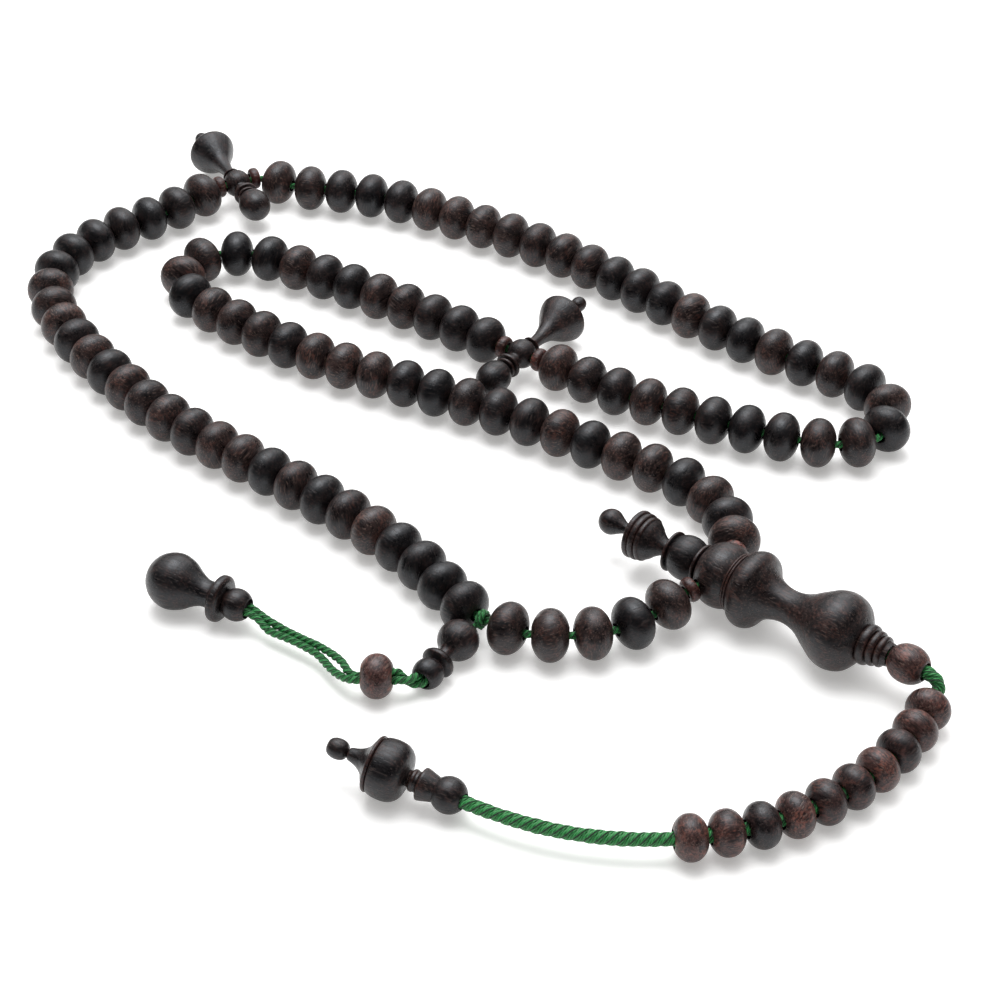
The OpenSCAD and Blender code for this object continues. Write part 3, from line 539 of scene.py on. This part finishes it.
def turnPiece(name, outline, bore=0, steps=56, tone=0.3, tilt=0, seed=1, slot="dark_wood"):
    outline = softCorners([tuple(map(float, p)) for p in outline])
    wear = wearAt(outline)
    if bore:
        points = [(outline[0][0], bore)] + outline + [(outline[-1][0], bore), (outline[0][0], bore)]
        wear = [0] + wear + [0, 0]
    else:
        points = [(outline[0][0], 0)] + outline + [(outline[-1][0], 0)]
        wear = [0] + wear + [0]
    deselectAll()
    bpy.ops.mesh.primitive_plane_add(size=0.0002, location=(points[0][1] * mm, 0, points[0][0] * mm))
    piece = bpy.context.active_object
    piece.name = piece.data.name = name
    bpy.ops.object.transform_apply(location=True)
    bpy.ops.object.mode_set(mode="EDIT")
    bpy.ops.mesh.merge(type="CENTER")  # one point, which the outline is drawn from
    for (t0, r0), (t1, r1) in zip(points, points[1:]):
        bpy.ops.mesh.extrude_region_move(TRANSFORM_OT_translate={"value": ((r1 - r0) * mm, 0, (t1 - t0) * mm)})
    bpy.ops.mesh.select_all(action="SELECT")
    bpy.ops.mesh.spin(steps=steps, angle=2 * math.pi, center=(0, 0, 0), axis=(0, 0, 1))
    bpy.ops.mesh.select_all(action="SELECT")
    bpy.ops.mesh.remove_doubles(threshold=0.000002)
    bpy.ops.mesh.normals_make_consistent(inside=False)
    bpy.ops.object.mode_set(mode="OBJECT")
    bpy.ops.object.shade_smooth_by_angle(angle=math.radians(52))
    markWood(piece, tone, tilt, seed, points, wear)
    piece.data.materials.append(woods[slot])
    return piece


def markWood(piece, tone, tilt, seed, points=None, wear=None):
    mesh = piece.data
    spots = np.empty(len(mesh.vertices) * 3)
    mesh.vertices.foreach_get("co", spots)
    spots = spots.reshape(-1, 3) / mm
    rng = random.Random(seed)
    turned = Matrix.Rotation(math.radians(tilt), 3, "X") @ Matrix.Rotation(rng.uniform(0, 6.28), 3, "Z")
    shift = np.array([rng.uniform(-60, 60) for _ in range(3)])
    grainPlace = spots @ np.array(turned).T + shift
    setAttribute(mesh, "grainPlace", "FLOAT_VECTOR", "vector", grainPlace)
    setAttribute(mesh, "woodTone", "FLOAT", "value", np.full(len(spots), tone))
    worn = np.zeros(len(spots))
    if points:
        radius = np.hypot(spots[:, 0], spots[:, 1])
        line = np.array(points)
        for start in range(0, len(spots), 4000):
            part = slice(start, start + 4000)
            gap = (spots[part, 2, None] - line[None, :, 0]) ** 2 + (radius[part, None] - line[None, :, 1]) ** 2
            worn[part] = np.array(wear)[gap.argmin(axis=1)]
    setAttribute(mesh, "edgeWear", "FLOAT", "value", worn)


def setAttribute(mesh, name, kind, key, values):
    if name in mesh.attributes:
        mesh.attributes.remove(mesh.attributes[name])
    mesh.attributes.new(name, kind, "POINT").data.foreach_set(key, np.asarray(values, np.float32).ravel())


def setDown(piece, where, along, roll=0.0):  # turns the piece's axis to a direction and applies its place
    pick(piece)
    rolled = Matrix.Rotation(roll, 3, "Z").to_quaternion()
    piece.rotation_mode = "QUATERNION"
    piece.rotation_quaternion = up.rotation_difference(Vector(along).normalized()) @ rolled
    piece.location = where
    bpy.ops.object.transform_apply(location=True, rotation=True, scale=True)
    return piece


def boreThrough(piece, where, along, diameter, length):
    deselectAll()
    bpy.ops.mesh.primitive_cylinder_add(
        vertices=32, radius=diameter / 2 * mm, depth=length * mm, location=where,
        rotation=up.rotation_difference(Vector(along)).to_euler())
    cutter = bpy.context.active_object
    bpy.ops.object.transform_apply(location=True, rotation=True)
    pick(piece)
    cut = piece.modifiers.new("bore", "BOOLEAN")
    cut.operation, cut.object, cut.solver = "DIFFERENCE", cutter, "EXACT"
    bpy.ops.object.modifier_apply(modifier="bore")
    bpy.data.objects.remove(cutter)


# strand beads
bead = {"length": 5.4, "diameter": 7.8, "bore": 2.1, "fullness": 2.15, "steps": 36, "outlineSteps": 9}


def beadOutline(length, diameter, bore, fullness=2.15, half=9):
    reach = math.acos((bore / 2 + 0.15) / (diameter / 2))
    full = math.sin(reach) ** (2 / fullness)
    points = []
    for i in range(-half, half + 1):
        a = reach * i / half
        along = math.copysign(length / 2 * math.sin(abs(a)) ** (2 / fullness) / full, a)
        points.append((along, diameter / 2 * math.cos(a)))
    return points


beadShape = beadOutline(bead["length"], bead["diameter"], bead["bore"], bead["fullness"], bead["outlineSteps"])
masterBead = turnPiece("strandBead", beadShape, bore=bead["bore"] / 2, steps=bead["steps"])
frontTones = [0.55, 0.02, 0.6, 0.5, 0.4]  # from the head to the pendant's loop
chance = random.Random(41)
bodies = frame["record"]["behaviour"]["bodies"]
bodyOf = {node: body for body, nodes in bodies.items() for node in nodes}


def placeRun(runName):
    byNode = {}
    for index, (node, middle, axis) in enumerate(strung[runName]):
        one = masterBead.copy()
        one.data = masterBead.data.copy()
        bpy.context.collection.objects.link(one)
        darkOne = chance.random() < 0.42
        tone = chance.uniform(0, 0.16) if darkOne else chance.uniform(0.25, 0.72)
        if runName == "front":
            tone = frontTones[index]
        size = chance.uniform(0.975, 1.0)
        one.data.transform(Matrix.Diagonal((size, size, chance.uniform(0.985, 1.0), 1)))
        markWood(one, tone, chance.choice([0, 15, 75, 90, 90]), chance.randrange(9999))
        setDown(one, Vector(middle), axis, chance.uniform(0, 6.28))
        byNode.setdefault(node, []).append(one)
    for node, ones in byNode.items():
        deselectAll()
        for one in ones:
            one.select_set(True)
        bpy.context.view_layer.objects.active = ones[0]
        if len(ones) > 1:
            bpy.ops.object.join()
        piece = bpy.context.view_layer.objects.active
        piece.name = piece.data.name = "turned_" + node
        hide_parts(node)
        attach(piece, bodyOf[node])


for runName in runs:
    placeRun(runName)
bpy.data.objects.remove(masterBead)
say("strand beads")


def stands(piece, node):
    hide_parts(node)
    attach(piece, bodyOf[node])
    return piece


# washers
washer = {"length": 1.6, "diameter": 3.8, "bore": 2.1}
washerOutline = swell(0, washer["length"] / 2, washer["diameter"] / 2, washer["diameter"] / 2 - 0.55, 12)
washerNodes = ("imame_washer_front", "imame_washer_back", "marker_a_washer_in", "marker_a_washer_out",
               "marker_b_washer_in", "marker_b_washer_out")
for index, node in enumerate(washerNodes):
    middle, axis = solidsIn(node)[0]
    piece = turnPiece("turned_" + node, washerOutline, bore=washer["bore"] / 2, steps=40,
                      tone=0.75 + 0.2 * math.sin(index * 2.1), seed=60 + index, slot="washer_wood")
    stands(setDown(piece, Vector(middle), axis), node)

# head
head = {"barrel": 4.9, "bore": 1.35, "steps": 72}
barrelArc = [(2.9 * math.sin(math.radians(a)) / math.sin(math.radians(50)),
              head["barrel"] - 1.3 * (1 - math.cos(math.radians(a))) / (1 - math.cos(math.radians(50))))
             for a in np.linspace(-50, 50, 15)]
barrelRings = [(2.1, 3.85), (2.25, 4.4), (2.48, 4.45), (2.6, 4.2), (2.7, 4.45), (2.93, 4.5), (3.06, 4.15)]
bodyOutline = ([(-3.3, 2.9), (-2.95, 3.1)] + barrelArc + barrelRings
               + smoothPart([(3.2, 4.5), (4, 5.45), (5.2, 5.8), (6.4, 5.4), (7.3, 4.2), (8.6, 3.1), (11, 2.5),
                             (13.4, 2.9), (16, 4.4), (18, 5.5), (19.8, 5.8), (21.8, 5.2), (23, 3.9), (23.6, 3)])
               + swell(24.4, 0.7, 3, 2.6, 8) + swell(25.7, 0.55, 2.6, 2.2, 8) + swell(26.8, 0.5, 2.3, 1.9, 8)
               + [(27.5, 1.8), (28, 1.7)])
imameBody = turnPiece("turned_imame_body", bodyOutline, bore=head["bore"], steps=head["steps"],
                      tone=0.3, tilt=4, seed=7)
setDown(imameBody, headPlace, headAxis)
for hole in (frontHole, backHole):
    boreThrough(imameBody, headPlace + 4 * mm * hole, hole, 2.1, 5)
stands(imameBody, "imame_body")

ballOutline = ([(-9.15, 2.4), (-9.1, 3.05), (-8.7, 3.05), (-8.65, 2.5)]
               + roundPart(-6.4, 3.36, np.linspace(-42, 42, 19))
               + [(-4.1, 2.3), (-4.05, 3.1), (-3.6, 3.1), (-3.45, 2.2)])
imameBall = turnPiece("turned_imame_ball", ballOutline, bore=1.0, tone=0.08, seed=8)
stands(setDown(imameBall, headPlace, headAxis), "imame_ball")

bellOutline = (roundPart(-20.1, 1.95, range(-86, 21, 7))
               + smoothPart([(-18.9, 1.55), (-18.2, 1.15), (-17.4, 0.82), (-16.7, 0.7), (-16.25, 0.85)])
               + [(-16.15, 1.6), (-16.05, 2.5), (-15.85, 3.3)]
               + swell(-15.35, 0.42, 3.68, 3.42, 8) + swell(-14.4, 0.46, 3.6, 3.36, 8)
               + swell(-13.5, 0.4, 3.4, 3.15, 8)
               + smoothPart([(-13, 3.08), (-12.4, 2.72), (-11.7, 2.1), (-11, 1.6), (-10.3, 1.28), (-9.7, 1.2),
                             (-9.25, 1.5)])
               + [(-9.2, 0.97), (-2.3, 0.97)])
imameFinial = turnPiece("turned_imame_finial", bellOutline, steps=64, tone=0.15, seed=9)
stands(setDown(imameFinial, headPlace, headAxis), "imame_finial")

tailBall = turnPiece("turned_tail_ball", beadOutline(5.4, 5.6, 2.7), bore=1.35, steps=44, tone=0.85,
                     tilt=20, seed=10, slot="brown_wood")
stands(setDown(tailBall, headPlace + 30.9 * mm * headAxis, headAxis), "tail_ball")
say("head")

# markers
markerBallOutline = (swell(-8.3, 3, 2.7, 0.2, 20)
                     + [(-5.3, 1), (-5.15, 1.1), (-5.1, 1.7), (-4.7, 1.75), (-4.6, 1.4), (-4.4, 1.4),
                        (-4.35, 2.05), (-3.9, 2.15), (-3.8, 1.5), (-2.3, 1.15)]
                     + roundPart(0, 2.4, range(-58, 91, 8)))
hornOutline = ([(1.5, 0.48), (2.48, 0.48), (2.5, 0.9), (2.55, 1.55), (2.9, 1.55), (3, 1)]
               + smoothPart([(3.6, 0.95), (5.6, 1.15), (7.6, 1.7), (9.4, 2.7), (10.8, 3.5), (12.45, 4.1),
                             (13.05, 3.85), (13.4, 3.1)])
               + [(13.8, 1.6), (14.05, 0.55), (15.9, 0.5)] + swell(17.4, 1.25, 1.25, 0.45, 14))
for letter, tones in (("a", (0.25, 0.1)), ("b", (0.12, 0.3))):
    where, axis, along = markerPlaces[letter]
    ball = turnPiece("turned_marker_%s_ball" % letter, markerBallOutline, tone=tones[0], seed=70 + ord(letter))
    setDown(ball, where, axis)
    boreThrough(ball, where, along, 2.1, 9)
    stands(ball, "marker_%s_ball" % letter)
    horn = turnPiece("turned_marker_%s_horn" % letter, hornOutline, steps=64, tone=tones[1],
                     seed=80 + ord(letter))
    stands(setDown(horn, where, axis), "marker_%s_horn" % letter)
say("markers")

# counters
counter = {"length": 4.4, "gap": 0.45, "diameter": 6.4, "bore": 2.7}
counterStep = math.degrees((counter["length"] + counter["gap"]) / arcRadius)
counterTones = [0.8, 0.65, 0.2, 0.9, 0.35, 0.3, 0.95, 0.12, 0.75, 0.8]
counterOutline = beadOutline(counter["length"], counter["diameter"], counter["bore"])
for index, tone in enumerate(counterTones):
    angle = firstCounter - index * counterStep
    node = "counter_%d" % (index + 1)
    piece = turnPiece("turned_" + node, counterOutline, bore=counter["bore"] / 2, steps=44, tone=tone,
                      tilt=(0, 80, 30, 90)[index % 4], seed=100 + index, slot="brown_wood")
    stands(setDown(piece, onArc(angle), heading(angle - 90), index * 1.3), node)
say("counters")

# tail finial
finialBallPlace = onArc(tailEnd, 3.05) + 1.95 * mm * heading(146)
finialAxis = (heading(156) * math.sqrt(8.6**2 - 1.15**2) + Vector((0, 0, 1.15))).normalized()
finialBall = turnPiece("turned_finial_ball", roundPart(0, 2.55, range(-84, 85, 6)), steps=48, tone=0.12, seed=121)
setDown(finialBall, finialBallPlace, finialAxis)
boreThrough(finialBall, onArc(tailEnd, 3.05), heading(146), 2.3, 2.6)
stands(finialBall, "finial_ball")
spoolOutline = [(1.75, 1.72), (2, 1.8), (3.6, 2.25), (4, 2.3), (4.15, 2.1), (4.4, 1.5), (4.8, 1.45),
                (5, 1.6), (5.4, 1.55), (5.6, 1.2), (5.9, 1.15)]
finialSpool = turnPiece("turned_finial_spool", spoolOutline, bore=0.85, tone=0.35, seed=122)
stands(setDown(finialSpool, finialBallPlace, finialAxis), "finial_spool")
barrelOutline = [(5.95, 1.5)] + smoothPart([(6.05, 2.2), (6.4, 3.2), (7.3, 3.95), (8.6, 4.2), (9.9, 4.1),
                                            (10.5, 3.9), (10.6, 3.75)])
finialBarrel = turnPiece("turned_finial_barrel", barrelOutline, bore=0.85, steps=64, tone=0.15, seed=123)
stands(setDown(finialBarrel, finialBallPlace, finialAxis), "finial_barrel")
tipOutline = ([(2.2, 0.75), (10.6, 0.75), (10.65, 3.85), (10.9, 4), (11.15, 3.9), (11.35, 3.4)]
              + smoothPart([(11.6, 3), (12.2, 2), (13.2, 1.3), (14.6, 0.85)])
              + swell(16.3, 1.45, 1.45, 0.5, 16))
finialTip = turnPiece("turned_finial_tip", tipOutline, steps=64, tone=0.1, seed=124)
stands(setDown(finialTip, finialBallPlace, finialAxis), "finial_tip")
say("tail finial")

# pendant
hubOutline = roundPart(0, 3, range(-84, 61, 8)) + [(2.8, 1.3), (3.4, 1.05), (4, 1.1)]
hub = turnPiece("turned_pendant_hub", hubOutline, tone=0.2, seed=131)
stands(setDown(hub, hubPlace, hubAxis), "pendant_hub")
cupOutline = ([(4.05, 1), (4.1, 1.5), (4.5, 2.2), (5, 2.5), (5.4, 2.45), (5.7, 2.1), (5.9, 1.5), (6.0, 1.5)]
              + roundPart(7.6, 2.25, range(-42, 42, 7)) + [(9.2, 1.58)])
cup = turnPiece("turned_pendant_cup", cupOutline, tone=0.08, seed=132)
setDown(cup, hubPlace, hubAxis)
boreThrough(cup, hubPlace + 9.6 * mm * hubAxis, hubAxis, 2.6, 4)
stands(cup, "pendant_cup")
rondelle = turnPiece("turned_pendant_rondelle", beadOutline(4.4, 6.4, 3.1), bore=1.55, steps=44, tone=0.95,
                     tilt=70, seed=133, slot="brown_wood")
stands(setDown(rondelle, rondellePlace, rondelleAxis), "pendant_rondelle")
pearBall = turnPiece("turned_pear_ball", roundPart(0, 2.4, range(-84, 85, 7)), tone=0.18, seed=134)
setDown(pearBall, pearPlace, pearAxis)
boreThrough(pearBall, pearPlace - 2.2 * mm * pearAxis, pearAxis, 3.0, 2.2)
stands(pearBall, "pear_ball")
bulbOutline = ([(1.7, 1.75), (1.7, 2.2), (1.8, 2.9), (2.1, 3.25)] + swell(2.7, 0.65, 3.5, 3.15, 8)
               + [(3.5, 2.9), (3.8, 2.15)]
               + smoothPart([(4.1, 2), (5.3, 2.05), (6.7, 2.7), (8.3, 3.7), (10.3, 4.2), (12.3, 3.65),
                             (13.7, 2.4), (14.3, 1), (14.4, 0.3)]))
pearBulb = turnPiece("turned_pear_bulb", bulbOutline, steps=64, tone=0.12, seed=135)
stands(setDown(pearBulb, pearPlace, pearAxis), "pear_bulb")
say("pendant")

# cords: each hides its model node and joins that node's body
for piece, node in ((strandCord, "strand_cord"), (tailCord, "tail_cord"), (loopCord, "pendant_loop"),
                    (pairCords[1], "pendant_cord_back"), (pairCords[-1], "pendant_cord_front")):
    stands(piece, node)
say("cords declared")

# table and light
deselectAll()
bpy.ops.mesh.primitive_plane_add(size=8, location=(0, 0, 0))
table = bpy.context.active_object
table.name = "table"
tableMaterial = bpy.data.materials.new("whiteTable")
tableMaterial.use_nodes = True
tableLook = {"Base Color": (0.86, 0.86, 0.86, 1), "Roughness": 0.7, "Emission Color": (1, 0.99, 0.97, 1),
             "Emission Strength": 0.36, "Specular IOR Level": 0.2}
for setting, value in tableLook.items():
    tableMaterial.node_tree.nodes["Principled BSDF"].inputs[setting].default_value = value
table.data.materials.append(tableMaterial)

lights = [
    {"name": "topSoft", "place": (-0.04, 0.2, 0.66), "aim": (0.0, 0.0, 0.0), "size": 0.52, "power": 3.2},
    {"name": "backSoft", "place": (0.2, 0.6, 0.3), "aim": (0.0, 0.0, 0.0), "size": 0.4, "power": 0.5},
]
for light in lights:
    deselectAll()
    bpy.ops.object.light_add(type="AREA", location=light["place"])
    lamp = bpy.context.active_object
    lamp.name = light["name"]
    lamp.data.shape = "DISK"
    lamp.data.size = light["size"]
    lamp.data.energy = light["power"]
    lamp.rotation_mode = "QUATERNION"
    lamp.rotation_quaternion = (Vector(light["aim"]) - Vector(light["place"])).to_track_quat("-Z", "Y")
world = bpy.data.worlds.new("studio")
bpy.context.scene.world = world
world.use_nodes = True
sky = world.node_tree  # bright overhead and behind, dim on the camera's side
toward = addNode(sky, "ShaderNodeSeparateXYZ", {0: addNode(sky, "ShaderNodeTexCoord").outputs["Generated"]})
lift = maths(sky, "ADD", maths(sky, "MULTIPLY", toward.outputs["Z"], 0.8),
             maths(sky, "MULTIPLY", toward.outputs["Y"], 0.4))
sky.links.new(between(sky, lift, 0.42, 0.98, 0.07, 2.3), sky.nodes["Background"].inputs["Strength"])
sky.nodes["Background"].inputs["Color"].default_value = (1, 1, 1, 1)
bpy.context.scene.view_settings.view_transform = "Standard"
say("table and light")
